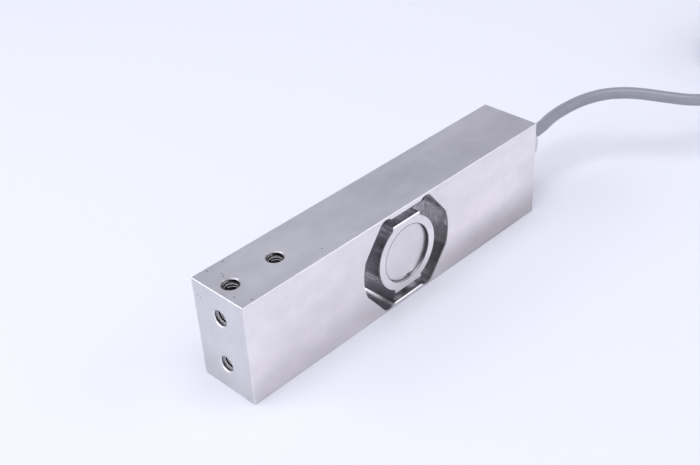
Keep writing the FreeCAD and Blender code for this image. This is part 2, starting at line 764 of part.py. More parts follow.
def make_cable():
    """The lead: jacket in the gland, free run, tied hank and its end on top of the hank."""
    radius = dim("cable_diameter") / 2
    nose_x = number(HALF_LENGTH) + number(NOSE_END)
    gland_exit = vector(nose_x, 0, dim("gland_centre_height"))
    half = dim("coil_columns") * radius
    inner = dim("coil_mid_radius") - half
    outer = dim("coil_mid_radius") + half
    low = dim("tie_thickness")
    high = low + dim("coil_layers") * 2 * radius
    run = dim("coil_run")
    left = vector(nose_x + dim("coil_from_gland"), dim("coil_centre_y"))

    jacket = doc.addObject("Part::Cylinder", "JacketInGland")
    jacket.setExpression("Radius", CABLE_RADIUS)
    jacket.setExpression("Height", f"dims.jacket_in_port + {NOSE_END}")
    place(jacket, f"{HALF_LENGTH} - dims.jacket_in_port", "0", "dims.gland_centre_height",
          axis=(0, 1, 0), angle=90.0)
    keep(jacket, "cable_in_gland")

    entry_length = dim("coil_entry_length")
    lead_end = left + vector(-entry_length, radius - outer, low + radius)
    lead_points = [gland_exit, gland_exit + vector(END_RUN, 0)]
    lead_points += [gland_exit + vector(*step) for step in LEAD_ROUTE]
    lead_points += [lead_end - vector(END_RUN, 0), lead_end]
    lead_length = make_tube("cable_lead", lead_points, radius)[1]

    ring = stadium(outer, run, low, high).cut(stadium(inner, run, low, high))
    rims = [edge for edge in ring.Edges if abs(edge.tangentAt(edge.FirstParameter).z) < 0.5]
    ring = ring.makeFillet(radius, rims)
    entry = Part.makeCylinder(radius, entry_length, vector(-entry_length, radius - outer,
                                                           low + radius), vector(1, 0, 0))
    ramp_points = leaving_points(inner + radius, high - radius, high + dim("sleeve_radius"))
    ramp, ramp_length = tube_shape(ramp_points, radius)
    coil = ring.fuse([entry, ramp]).removeSplitter().Solids[0]
    coil.translate(left)
    add_shape("cable_coil", coil)

    middles = (left, left + vector(run, 0))
    for index, (middle, angle) in enumerate(zip(middles, TIE_ANGLES), start=1):
        tie = tie_shape(inner, outer, low, high, radius)
        tie.rotate(vector(0, 0), vector(0, 0, 1), angle)
        tie.translate(middle)
        add_shape(f"cable_tie_{index}", tie)

    tail_start = left + ramp_points[-1]
    jacket_end = tail_start + vector(dim("tail_length"), 0)
    tail_length = make_tube("cable_tail", [tail_start, jacket_end], radius)[1]

    turn = 2 * run + 2 * math.pi * dim("coil_mid_radius")
    coil_length = COIL_TURNS * turn + entry_length
    total = lead_length + coil_length + ramp_length + tail_length
    print(f"lead {lead_length:.0f}, coil {coil_length:.0f}, end {ramp_length + tail_length:.0f}, "
          f"whole {total:.0f} mm")
    return jacket_end, high


def stadium(radius, run, low, high):
    """A prism with two straight runs along X and a half round at each end."""
    right = vector(run, 0)
    corners = [vector(0, -radius, low), vector(run, -radius, low), vector(run, radius, low),
               vector(0, radius, low)]
    outline = Part.Wire([
        Part.LineSegment(corners[0], corners[1]).toShape(),
        Part.Arc(corners[1], right + vector(radius, 0, low), corners[2]).toShape(),
        Part.LineSegment(corners[2], corners[3]).toShape(),
        Part.Arc(corners[3], vector(-radius, 0, low), corners[0]).toShape()])
    return Part.Face(outline).extrude(vector(0, 0, high - low))


def leaving_points(radius, level, top):
    """The way out of the hank: round the left end on the inner turn and up onto the top."""
    points = []
    for angle, share in LEAVING:
        turned = math.radians(angle)
        points.append(vector(-radius * math.sin(turned), -radius * math.cos(turned),
                             level + share * (top - level)))
    points += [vector(LEAVING_RUN / 3, -radius - LEAVING_DRIFT, top),
               vector(LEAVING_RUN, -radius - LEAVING_DRIFT, top)]
    return points


def rounded_section(inner, outer, low, high, corner):
    """The bundle's section as a face in the XZ plane with rounded corners."""
    box = Part.makePolygon([
        vector(inner, 0, low), vector(outer, 0, low), vector(outer, 0, high),
        vector(inner, 0, high), vector(inner, 0, low)])
    solid = Part.Face(box).extrude(vector(0, 1, 0))
    upright = [edge for edge in solid.Edges if abs(edge.tangentAt(edge.FirstParameter).y) > 0.9]
    rounded = solid.makeFillet(corner, upright)
    face = min(rounded.Faces, key=lambda item: abs(item.CenterOfMass.y))
    return face


def tie_shape(inner, outer, low, high, corner):
    """A cable tie round the bundle: a band, its head on top and the strap's loose end."""
    thick = dim("tie_thickness")
    width = dim("tie_width")
    around = rounded_section(inner - thick, outer + thick, low - thick, high + thick,
                             corner + thick)
    bundle = rounded_section(inner, outer, low, high, corner)
    middle = (inner + outer) / 2
    spread = math.degrees(width / middle)
    turning = (vector(0, 0, 0), vector(0, 0, 1), spread)
    band = around.revolve(*turning).cut(bundle.revolve(*turning))
    band.rotate(vector(0, 0, 0), vector(0, 0, 1), -spread / 2)
    depth = dim("tie_head_depth")
    length = dim("tie_head_length")
    across = dim("tie_head_width")
    foot = high + thick / 2
    head = Part.makeBox(length, across, depth, vector(middle - length / 2, -across / 2, foot))
    upper = [edge for edge in head.Edges if edge.CenterOfMass.z > foot + depth / 4]
    head = head.makeChamfer(dim("tie_head_chamfer"), upper)
    strap_length = dim("tie_tail_length")
    strap = Part.makeBox(strap_length, width, thick,
                         vector(middle - strap_length, -width / 2, foot + depth / 2))
    return band.fuse([head, strap]).removeSplitter().Solids[0]


def make_lead_end(jacket_end, level):
    """The lead's bare end on the hank's top: shrink sleeve, cores with tinned tips, drain."""
    radius = dim("cable_diameter") / 2
    start = jacket_end - vector(dim("sleeve_on_jacket"), 0, 0)
    sleeve_length = dim("sleeve_on_jacket") + dim("sleeve_past_jacket")
    sleeve = Part.makeCylinder(dim("sleeve_radius"), sleeve_length, start, vector(1, 0, 0))
    hollow = Part.makeCylinder(radius, sleeve_length, start, vector(1, 0, 0))
    add_shape("lead_end_sleeve", sleeve.cut(hollow))

    core_radius = dim("core_diameter") / 2
    tips = []
    for name, offset, fan in zip(CORE_NAMES, core_offsets(), CORE_FAN):
        points = fanned_points(jacket_end + vector(0, *offset), level + core_radius, *fan)
        make_tube("lead_core_" + name, points, core_radius)
        heading = (points[-1] - points[-2]).normalize()
        tips.append(Part.makeCylinder(dim("core_tip_diameter") / 2, dim("core_tip_length"),
                                      points[-1], heading))
    add_shape("lead_core_tips", Part.makeCompound(tips))

    drain_radius = dim("drain_diameter") / 2
    make_tube("lead_shield_drain", fanned_points(jacket_end, level + drain_radius, *DRAIN_FAN),
              drain_radius)


def fanned_points(start, rest_z, sideways, reach):
    """A core's way out of the sleeve, down to what it lies on and off to its own side."""
    rest = rest_z + dim("lying_gap")
    points = [start]
    for along, out, fall in CORE_STEPS:
        points.append(vector(start.x + along * reach, start.y + out * sideways,
                             start.z + fall * (rest - start.z)))
    return points


# Straight run at each end of the free run
END_RUN = 9.0

# The free run's steps from the gland's nose: in the air, then down to the table beside the hank
LEAD_ROUTE = (
    (18.1, 1.7, 0.4), (28.0, 1.4, 0.7), (38.1, -1.0, 1.6), (47.3, -6.3, 2.4),
    (54.8, -14.4, 2.3), (61.1, -24.4, 1.5), (67.3, -35.1, 1.1), (76.6, -41.9, -0.1),
    (88.3, -44.6, -2.9), (101.0, -45.1, -7.3), (113.5, -45.5, -12.5), (126.0, -45.2, -17.1),
)

# Turns that the hank holds, and where the two ties stand round its left and right ends
COIL_TURNS = 13.8
TIE_ANGLES = (150.0, 30.0)

# Where the lead climbs out of the hank: angle before the front run, and share of the climb, then
# its way along the front run and its drift across the turns
LEAVING = ((62.0, 0.0), (40.0, 0.2), (17.0, 0.62))
LEAVING_RUN = 6.5
LEAVING_DRIFT = 0.8

# Each core's sideways spread and reach, and the stations on its way as shares of both and of
# its fall
CORE_FAN = ((5.2, 21.5), (2.0, 26.5), (-1.7, 27.0), (-5.4, 21.0), (-3.4, 22.5), (3.6, 22.0))
DRAIN_FAN = (0.2, 24.0)
CORE_STEPS = ((0.28, 0.0, 0.0), (0.5, 0.35, 0.4), (0.75, 0.74, 0.97), (1.0, 1.0, 1.0))


make_measuring_body()
make_cover("cover_front", True)
make_cover("cover_back", False)
for on_front, where in ((True, "front"), (False, "back")):
    make_gauge(f"strain_gauge_{where}_left", on_front, -1)
    make_gauge(f"strain_gauge_{where}_right", on_front, 1)
    make_board(f"terminal_board_{where}", on_front)
    make_pads(f"solder_pads_{where}", on_front)
    make_resistor(f"trim_resistor_{where}", on_front)
make_ring("gland_washer", SHANK_RADIUS, "dims.gland_washer_radius", "0",
          "dims.gland_washer_thickness")
make_gland_body()
make_ring("gland_insert", CABLE_RADIUS, "dims.gland_insert_radius", SEAT_LEVEL, COLLAR_TOP)
make_ring("gland_slip_ring", CABLE_HOLE, "dims.gland_collar_radius", COLLAR_TOP,
          f"{COLLAR_TOP} + dims.gland_ring_thickness")
make_gland_nut()
for core, place_in_ring in zip(CORE_NAMES, core_offsets()):
    make_inner_core(core, place_in_ring)
end_of_jacket, hank_top = make_cable()
make_lead_end(end_of_jacket, hank_top)
doc.recompute()

for item in doc.Objects:
    if "Invalid" in item.State or "Error" in item.State:
        raise ValueError(f"{item.Name} failed: {item.State}")
for item in sub_parts:
    if item.Shape.isNull() or not item.Shape.isValid():
        raise ValueError(f"{item.Label} has no valid shape")

os.makedirs("parts", exist_ok=True)
for item in sub_parts:
    item.Shape.exportStep(f"parts/{item.Label}.step")
    print(f"{item.Label}: {item.Shape.Volume:.1f} mm3, {len(item.Shape.Solids)} solids")
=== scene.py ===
import math

import bmesh
import bpy
from mathutils import Matrix, Vector


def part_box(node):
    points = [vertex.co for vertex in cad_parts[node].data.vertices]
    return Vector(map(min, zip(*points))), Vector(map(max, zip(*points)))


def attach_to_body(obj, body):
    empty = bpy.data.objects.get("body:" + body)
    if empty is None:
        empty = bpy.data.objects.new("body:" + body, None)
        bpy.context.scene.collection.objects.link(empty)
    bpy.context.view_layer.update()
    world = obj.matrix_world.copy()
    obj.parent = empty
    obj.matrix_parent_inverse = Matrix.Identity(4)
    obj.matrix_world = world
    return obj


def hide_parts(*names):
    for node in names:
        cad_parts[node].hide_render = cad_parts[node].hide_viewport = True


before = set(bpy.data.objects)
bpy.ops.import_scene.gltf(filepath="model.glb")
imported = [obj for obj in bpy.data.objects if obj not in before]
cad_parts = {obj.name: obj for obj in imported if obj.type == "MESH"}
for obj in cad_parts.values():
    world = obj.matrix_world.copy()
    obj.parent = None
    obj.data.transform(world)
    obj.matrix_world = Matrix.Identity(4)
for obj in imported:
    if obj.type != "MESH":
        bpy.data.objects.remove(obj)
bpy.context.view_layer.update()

# Looks of a stainless single point load cell: a milled block with a sealed gauge hub, tapped
# holes at both ends and a grey lead that leaves the far end for a tied hank on the table.
# Metres, in the row frame: X along the block, the visible side at -Y, Z up.

MM = 0.001


def mm(*numbers):
    """A point or vector given in millimetres."""
    return Vector(numbers) * MM


def link(item):
    """Put a new object into the scene."""
    bpy.context.scene.collection.objects.link(item)
    return item


# Camera: place in metres, angles in degrees, lens and sensor in millimetres

CAMERA_PLACE = (-0.23248, -0.22631, 0.24572)
CAMERA_AZIMUTH = -43.788
CAMERA_ELEVATION = 34.352
CAMERA_ROLL = -3.568
LENS = 56.26
SENSOR = 36.0
# Nearest and farthest distance that the camera sees, in metres
CLIP = (0.01, 50)


def make_camera():
    """The photograph's camera, fitted to the block's visible corners."""
    azimuth = math.radians(CAMERA_AZIMUTH)
    elevation = math.radians(CAMERA_ELEVATION)
    roll = math.radians(CAMERA_ROLL)
    ahead = Vector((-math.sin(azimuth) * math.cos(elevation),
                    math.cos(azimuth) * math.cos(elevation), -math.sin(elevation)))
    level = ahead.cross(Vector((0, 0, 1))).normalized()
    over = level.cross(ahead)
    right = math.cos(roll) * level + math.sin(roll) * over
    up = right.cross(ahead)
    data = bpy.data.cameras.new("camera")
    data.lens = LENS
    data.sensor_width = SENSOR
    data.clip_start, data.clip_end = CLIP
    camera = link(bpy.data.objects.new("camera", data))
    turn = Matrix((right, up, -ahead)).transposed()
    camera.matrix_world = Matrix.Translation(CAMERA_PLACE) @ turn.to_4x4()
    bpy.context.scene.camera = camera


# Lead in millimetres: its free run, the tied hank and the way to its bare end

CABLE_RADIUS = 2.5
GLAND_EXIT = (87.0, 0.0, 24.5)
LEAD_ROUTE = (
    GLAND_EXIT, (96.0, 0.0, 24.5), (105.1, 1.7, 24.9), (115.0, 1.4, 25.2), (125.1, -1.0, 26.1),
    (134.3, -6.3, 26.9), (141.8, -14.4, 26.8), (148.1, -24.4, 25.6), (154.3, -35.1, 24.7),
    (163.6, -41.9, 23.8), (175.3, -44.6, 21.6), (188.0, -45.1, 17.2), (200.5, -45.5, 12.0),
    (213.0, -45.2, 7.4), (226.0, -45.5, 3.7),
)
TAIL_ROUTE = (
    (248.3, -33.3, 24.9), (254.6, -36.2, 27.2), (261.0, -36.3, 29.2), (268.0, -36.3, 29.2),
    (275.5, -36.3, 29.2),
)
HANK_LEFT = (257.0, -20.0)
HANK_RUN = 32.0
HANK_RADII = (25.5, 20.5, 15.5)
HANK_BOTTOM = 3.7
HANK_TURNS = 13.9
# Stations of one turn: on each straight run, then round each half
RUN_STATIONS = 4
BEND_STATIONS = 8
TURN_STATIONS = 2 * (RUN_STATIONS + BEND_STATIONS)
# Where the first turn starts to shift inward, and the part of a turn that a shift takes
FIRST_SHIFT = 0.82
SHIFT_TURN = 0.1
# Steps round the cord, and from one control point to the next
RING_STEPS = 5
CORD_STEPS = 5


def ease(share):
    """A share from zero to one that starts and ends gently."""
    share = min(1.0, max(0.0, share))
    return share * share * (3 - 2 * share)


def hank_shifts():
    """Where the turns shift: the turn, radius step and layer step of each shift.

    A layer's shifts come earlier in the turn than those of the layer below, and the rise from
    one layer to the next lies between, so that no two turns meet on the way."""
    shifts = []
    start = FIRST_SHIFT
    pitch = HANK_RADII[0] - HANK_RADII[1]
    inward = -1
    while start < HANK_TURNS:
        for _ in range(len(HANK_RADII) - 1):
            shifts.append((start, inward * pitch, 0))
            start += 1
        start -= SHIFT_TURN
        shifts.append((start, 0, 1))
        start += 1 - SHIFT_TURN
        inward = -inward
    return shifts


def hank_station(step, radius):
    """One control point of an oval turn: front run, right end, back run, left end."""
    left_x, middle_y = HANK_LEFT
    half = RUN_STATIONS + BEND_STATIONS
    along = step % half
    turned = 1 if step % TURN_STATIONS < half else -1
    centre_x = left_x + HANK_RUN / 2
    if along < RUN_STATIONS:
        across = (along + 0.5) * HANK_RUN / RUN_STATIONS - HANK_RUN / 2
        outward = -radius
    else:
        swell = radius / math.cos(math.pi / (2 * BEND_STATIONS))
        angle = math.pi * (along - RUN_STATIONS + 0.5) / BEND_STATIONS
        across = HANK_RUN / 2 + swell * math.sin(angle)
        outward = -swell * math.cos(angle)
    return centre_x + turned * across, middle_y + turned * outward


def hank_points():
    """Control points of the hank's turns, counter-clockwise from above."""
    shifts = hank_shifts()
    points = []
    for step in range(round(HANK_TURNS * TURN_STATIONS)):
        turn = (step + 0.5) / TURN_STATIONS
        radius = HANK_RADII[0]
        layer = 0.0
        for start, sideways, upward in shifts:
            share = ease((turn - start) / SHIFT_TURN)
            radius += share * sideways
            layer += share * upward
        points.append((*hank_station(step, radius), HANK_BOTTOM + layer * 2 * CABLE_RADIUS))
    return points


def make_spline(name, points, radius):
    """A round cord on one smooth curve, with the points in millimetres as control points."""
    curve = bpy.data.curves.new(name, "CURVE")
    curve.dimensions = "3D"
    curve.bevel_depth = radius * MM
    curve.bevel_resolution = RING_STEPS
    curve.resolution_u = CORD_STEPS
    curve.use_fill_caps = True
    spline = curve.splines.new("NURBS")
    spline.points.add(len(points) - 1)
    for control, place in zip(spline.points, points):
        control.co = (*mm(*place), 1)
    spline.order_u = 3
    spline.use_endpoint_u = True
    return link(bpy.data.objects.new(name, curve))


def make_lead(jacket):
    """The whole free lead on one curve, from the gland to its bare end on the hank."""
    points = list(LEAD_ROUTE) + hank_points() + list(TAIL_ROUTE)
    lead = make_spline("lead", points, CABLE_RADIUS)
    lead.data.materials.append(jacket)
    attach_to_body(lead, "root")
    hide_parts("cable_lead", "cable_coil", "cable_tail")


# Node trees

# The part of a noise's range that nearly all of its values lie in
NOISE_RANGE = (0.3, 0.7)
# How squarely a face looks along an axis when it starts to count as facing it, and fully does
FACING_RANGE = (0.8, 0.95)


def new_material(name):
    """A material with its node tree and its shader."""
    material = bpy.data.materials.new(name)
    material.use_nodes = True
    return material, material.node_tree, material.node_tree.nodes["Principled BSDF"]


def add_node(tree, kind, inputs=None, **settings):
    """A node with its settings, and its inputs given as values or as sockets to link from."""
    made = tree.nodes.new(kind)
    for name, value in settings.items():
        setattr(made, name, value)
    for name, value in (inputs or {}).items():
        if isinstance(value, bpy.types.NodeSocket):
            tree.links.new(value, made.inputs[name])
        else:
            made.inputs[name].default_value = value
    return made


def calculate(tree, operation, first, second=0.0):
    """The result of one operation on numbers or sockets."""
    return add_node(tree, "ShaderNodeMath", {0: first, 1: second}, operation=operation).outputs[0]


def product(tree, first, *others):
    """All factors multiplied together."""
    for other in others:
        first = calculate(tree, "MULTIPLY", first, other)
    return first


def places(tree):
    """Positions on the object, in metres."""
    return add_node(tree, "ShaderNodeTexCoord").outputs["Object"]


def stretched(tree, scale, turn=0.0):
    """Positions turned about Y by degrees and stretched by a scale along each axis."""
    return add_node(tree, "ShaderNodeMapping", {
        "Vector": places(tree), "Rotation": (0.0, math.radians(turn), 0.0),
        "Scale": scale}).outputs[0]


def axes(tree, vector):
    """The X, Y and Z of a vector."""
    return add_node(tree, "ShaderNodeSeparateXYZ", {0: vector}).outputs


def away_from(tree, centre):
    """The way from a point to each place on the object."""
    return add_node(tree, "ShaderNodeVectorMath", {0: places(tree), 1: centre},
                    operation="SUBTRACT").outputs["Vector"]


def noise(tree, vector, scale, detail=3.0, roughness=0.6):
    """A soft cloudy noise, most of it between the ends of NOISE_RANGE."""
    return add_node(tree, "ShaderNodeTexNoise", {
        "Vector": vector, "Scale": scale, "Detail": detail, "Roughness": roughness}).outputs[0]


def spread(tree, value, low, high, from_low=0.0, from_high=1.0, smooth=False):
    """A value mapped from one range to another."""
    made = add_node(tree, "ShaderNodeMapRange", {
        "Value": value, "From Min": from_low, "From Max": from_high,
        "To Min": low, "To Max": high}, interpolation_type="SMOOTHSTEP" if smooth else "LINEAR")
    return made.outputs[0]


def uneven(tree, cloud, low, high):
    """A noise spread over the range between two numbers."""
    return spread(tree, cloud, low, high, *NOISE_RANGE)


def mixed(tree, factor, first, second):
    """Two colours mixed by a factor."""
    made = add_node(tree, "ShaderNodeMix", data_type="RGBA")
    for index, value in ((0, factor), (6, first), (7, second)):
        if isinstance(value, bpy.types.NodeSocket):
            tree.links.new(value, made.inputs[index])
        else:
            made.inputs[index].default_value = value
    return made.outputs[2]


def tinted(tree, base, tone):
    """A colour made lighter or darker by a tone."""
    return add_node(tree, "ShaderNodeVectorMath", {0: base, "Scale": tone},
                    operation="SCALE").outputs[0]


def bump(tree, height, distance, strength, normal=None):
    """A normal for a relief of some height in metres, over another normal where one is given."""
    inputs = {"Height": height, "Distance": distance, "Strength": strength}
    if normal is not None:
        inputs["Normal"] = normal
    return add_node(tree, "ShaderNodeBump", inputs).outputs[0]


def colour(red, green, blue):
    """A colour as a socket takes it."""
    return (red, green, blue, 1.0)


def squareness(tree, letter):
    """How squarely a surface faces along one axis, from zero to one."""
    normal = add_node(tree, "ShaderNodeNewGeometry").outputs["True Normal"]
    return calculate(tree, "ABSOLUTE", axes(tree, normal)[letter])


def by_facing(tree, letter, elsewhere, facing):
    """One value where a surface faces along an axis, another elsewhere."""
    return spread(tree, squareness(tree, letter), elsewhere, facing, *FACING_RANGE)


# Steel of the block, in millimetres but for what is given as a share or in metres

STEEL = (0.815, 0.80, 0.825)
# Painted light: the long sides get a slightly lighter, pinker copy of the steel
SIDE_LIT_STEEL = (0.86, 0.815, 0.825)
# Painted shade: the window's inner walls, darker than the steel outside
SHADED_WALL_STEEL = (0.615, 0.602, 0.622)
# Painted highlight: the pale glints on the window's walls
PAINTED_GLINT_STEEL = (0.97, 0.94, 0.94)
# Painted shade: dark walls in the top holes, and the window's shaded patches
SHADED_HOLE_STEEL = (0.16, 0.155, 0.165)
SIDE_HOLE_STEEL = (0.80, 0.785, 0.81)
# Painted shade: the top holes' mouths and countersinks, darker than the steel outside
SHADED_MOUTH_STEEL = (0.50, 0.49, 0.51)
SHADED_CONE_STEEL = (0.52, 0.51, 0.53)
# Painted shade: the steep wall of the covers' recess
RECESS_SHADE_STEEL = (0.10, 0.098, 0.11)
PIT_STEEL = (0.20, 0.19, 0.21)
# How deep under the block's outside a wall counts as inner, and how far the window reaches
INNER_DEPTH = 0.45
WINDOW_REACH = 30.0
# Heights over which a wall is in a top hole or in its mouth, and half the soft step there
TOP_HOLES_LEVEL = 34.2
MOUTH_LEVEL = 39.0
LEVEL_STEP = 0.1
# The top's countersinks: lowest height, squareness of a slope, farthest place along X and Y
CONE_LEVEL = 39.5
SLOPE_LIMIT = 0.9
CONE_REACH = (("X", 74.0), ("Y", 5.0))
# A cover's recess: how far its wall lies past the cover's rim, the squareness of a steep wall,
# and between which downward slants from the axis it turns from bright to dark
RECESS_MARGIN = 0.2
STEEP_LIMIT = 0.5
RECESS_SLANTS = (-0.95, -0.55)
# Small dark pits near the tapped end
SPECKS = (
    (-67.3, 6.2, 40.0), (-67.8, 4.8, 40.0), (-72.7, -6.2, 40.0), (-69.5, 11.0, 40.0),
    (-62.7, 11.2, 40.0), (-69.8, -11.2, 40.0), (-36.8, -8.5, 40.0), (-75.0, 10.2, 34.2),
    (-75.0, 8.8, 33.7),
)
SPECK_RADIUS = 0.36
# Painted highlights where the polished walls of the window would catch the light: centre,
# reach, strength
PAINTED_GLINTS = (
    ((22.2, -6.6, 21.0), (1.2, 2.0, 2.4), 1.0), ((21.7, -9.2, 24.9), (1.2, 1.9, 2.4), 0.6),
    ((22.2, -11.4, 21.2), (1.2, 1.2, 1.9), 0.6), ((21.9, -2.9, 22.5), (0.8, 0.6, 6.5), 1.0),
    ((15.6, -2.5, 27.4), (1.4, 0.5, 1.2), 0.9), ((17.2, -2.5, 26.1), (1.4, 0.5, 1.2), 0.8),
    ((18.8, -2.5, 24.9), (1.4, 0.5, 1.2), 0.6), ((4.9, -9.4, 1.8), (2.6, 2.0, 0.6), 1.0),
    ((9.6, -8.4, 0.9), (1.5, 1.8, 0.8), 0.5), ((-4.2, -11.0, 1.8), (2.6, 1.5, 0.6), 0.45),
)
# Painted shade where the window's walls would lose the light: centre, reach, strength
SHADES = (
    ((17.2, -8.0, 33.2), (5.5, 8.0, 3.6), 1.0), ((0.4, -9.8, 1.8), (1.9, 1.8, 0.6), 0.7),
)
# How metallic a painted glint is, and how much rougher than the wall round it
GLINT_METALLIC = 0.1
GLINT_ROUGHER = 0.6
# The share of a soft patch's reach at which it starts to fade
PATCH_CORE = 0.2
# Clouds, patches, grain and polishing marks: scale in cycles a metre, stretch along the axes,
# the clouds' turn about Y in degrees
CLOUD_SCALE = 42.0
CLOUD_STRETCH = (0.45, 1.0, 1.3)
CLOUD_TURN = 38
PATCH_SCALE = 150.0
GRAIN_STRETCH = (60.0, 2400.0, 2400.0)
MARK_SCALE = 110.0
MARK_STRETCH = (3.0, 0.25, 3.0)
# What they do to the tone
CLOUD_TONES = (0.91, 1.08)
PATCH_TONES = (-0.035, 0.03)
GRAIN_TONES = (-0.015, 0.015)
# What they do to the roughness: outside, added outside, on polished inner walls
CLOUD_ROUGHNESS = (0.30, 0.42)
GRAIN_ROUGHNESS = (-0.03, 0.03)
MARK_ROUGHNESS = (0.16, 0.26)
# How high their relief stands, and how strongly the grain's shows
GRAIN_RELIEF = 0.004
GRAIN_STRENGTH = 0.3
MARK_RELIEF = 0.02
# The long sides' painted shade, darker low down and to the right: heights and places along
# the block over which it grows in metres, its share at the left and away from the sides,
# and the tone that it ends at
SIDE_HEIGHTS = (4 * MM, 18 * MM)
SIDE_LENGTHS = (-40 * MM, 60 * MM)
LEFT_SHARE = 0.5
OFF_SIDE_SHARE = 0.25
SIDE_SHADE_TONE = 0.65
# Painted shade: the top darker towards the far end, and the darker tone of the two ends
TOP_LENGTHS = (-10 * MM, 70 * MM)
TOP_SHADE_TONE = 0.87
END_SHADE_TONE = 0.84


def speck_mask(tree):
    """One in the small dark pits near the tapped end, zero elsewhere."""
    nearest = None
    for speck in SPECKS:
        away = add_node(tree, "ShaderNodeVectorMath", {0: places(tree), 1: mm(*speck)},
                        operation="DISTANCE").outputs["Value"]
        nearest = away if nearest is None else calculate(tree, "MINIMUM", nearest, away)
    return spread(tree, nearest, 1.0, 0.0, 0.5 * SPECK_RADIUS * MM, SPECK_RADIUS * MM, smooth=True)


def inner_masks(tree):
    """One on all inner walls, and one only on the walls of the drilled holes."""
    low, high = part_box("measuring_body")
    reach = (high - low) / 2 - mm(*[INNER_DEPTH] * 3)
    away = axes(tree, away_from(tree, (low + high) / 2))
    inner = 1.0
    for letter, limit in zip("XYZ", reach):
        far = calculate(tree, "ABSOLUTE", away[letter])
        inner = product(tree, inner, calculate(tree, "LESS_THAN", far, limit))
    beyond = calculate(tree, "GREATER_THAN", calculate(tree, "ABSOLUTE", away["X"]),
                       WINDOW_REACH * MM)
    return inner, product(tree, inner, beyond)


def soft_patches(tree, patches):
    """The strongest of some soft ellipsoid patches at each place."""
    strongest = 0.0
    for centre, reach, strength in patches:
        away = away_from(tree, mm(*centre))
        scaled = add_node(tree, "ShaderNodeVectorMath", {0: away, 1: mm(*reach)},
                          operation="DIVIDE").outputs["Vector"]
        far = add_node(tree, "ShaderNodeVectorMath", {0: scaled},
                       operation="LENGTH").outputs["Value"]
        near = spread(tree, far, strength, 0.0, PATCH_CORE, 1.0, smooth=True)
        strongest = calculate(tree, "MAXIMUM", strongest, near)
    return strongest


def painted_side_shade(tree):
    """Painted shade: darker low down and to the right on the long sides."""
    position = axes(tree, places(tree))
    low = spread(tree, position["Z"], 1.0, 0.0, *SIDE_HEIGHTS, smooth=True)
    right = spread(tree, position["X"], LEFT_SHARE, 1.0, *SIDE_LENGTHS, smooth=True)
    side = by_facing(tree, "Y", OFF_SIDE_SHARE, 1.0)
    return spread(tree, product(tree, low, right, side), 1.0, SIDE_SHADE_TONE)


def painted_top_and_end_shade(tree):
    """Painted shade: darker towards the far end on the top, and all over on the ends."""
    along = axes(tree, places(tree))["X"]
    far = spread(tree, along, 0.0, 1.0, *TOP_LENGTHS, smooth=True)
    top = spread(tree, product(tree, far, by_facing(tree, "Z", 0.0, 1.0)), 1.0, TOP_SHADE_TONE)
    return product(tree, by_facing(tree, "X", 1.0, END_SHADE_TONE), top)


def steel_tone(tree, cloud, grain):
    """Tone of large and small clouds and the grinding's grain, times the faces' painted shade."""
    patch = noise(tree, places(tree), PATCH_SCALE)
    clouds = calculate(tree, "ADD", uneven(tree, cloud, *CLOUD_TONES),
                       uneven(tree, patch, *PATCH_TONES))
    tone = product(tree, painted_side_shade(tree), painted_top_and_end_shade(tree), clouds)
    return calculate(tree, "ADD", tone, uneven(tree, grain, *GRAIN_TONES))


def above(tree, height, level):
    """One over a level given in millimetres, zero under it, with a short soft step."""
    return spread(tree, height, 0.0, 1.0, (level - LEVEL_STEP) * MM, (level + LEVEL_STEP) * MM)


def hole_shade_tone(tree):
    """Painted shade: dark walls in the top holes but for their mouths, lighter in the lower holes.
    """
    height = axes(tree, places(tree))["Z"]
    walls = mixed(tree, above(tree, height, TOP_HOLES_LEVEL), colour(*SIDE_HOLE_STEEL),
                  colour(*SHADED_HOLE_STEEL))
    return mixed(tree, above(tree, height, MOUTH_LEVEL), walls, colour(*SHADED_MOUTH_STEEL))


def cone_mask(tree):
    """One on the countersinks of the top's holes, zero elsewhere."""
    position = axes(tree, places(tree))
    high = calculate(tree, "GREATER_THAN", position["Z"], CONE_LEVEL * MM)
    sloped = calculate(tree, "LESS_THAN", squareness(tree, "Z"), SLOPE_LIMIT)
    cone = product(tree, high, sloped)
    for letter, limit in CONE_REACH:
        far = calculate(tree, "ABSOLUTE", position[letter])
        cone = product(tree, cone, calculate(tree, "LESS_THAN", far, limit * MM))
    return cone


def cover_middle():
    """The middle of the front cover."""
    low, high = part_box("cover_front")
    return (low + high) / 2


def from_cover_axis(tree):
    """The rise over the covers' axis and the distance from it."""
    away = axes(tree, away_from(tree, cover_middle()))
    across, rise = away["X"], away["Z"]
    squares = calculate(tree, "ADD", product(tree, across, across), product(tree, rise, rise))
    return rise, calculate(tree, "SQRT", squares)


def recess_shade_mask(tree):
    """Painted shade: one on the steep wall of the covers' recess, less where it faces up to the
    light.
    """
    low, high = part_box("cover_front")
    rise, radius = from_cover_axis(tree)
    limit = (high.x - low.x) / 2 + RECESS_MARGIN * MM
    near = calculate(tree, "LESS_THAN", radius, limit)
    steep = calculate(tree, "LESS_THAN", squareness(tree, "Y"), STEEP_LIMIT)
    slant = calculate(tree, "DIVIDE", rise, radius)
    shaded = spread(tree, slant, 0.0, 1.0, *RECESS_SLANTS, smooth=True)
    return product(tree, near, steep, shaded)


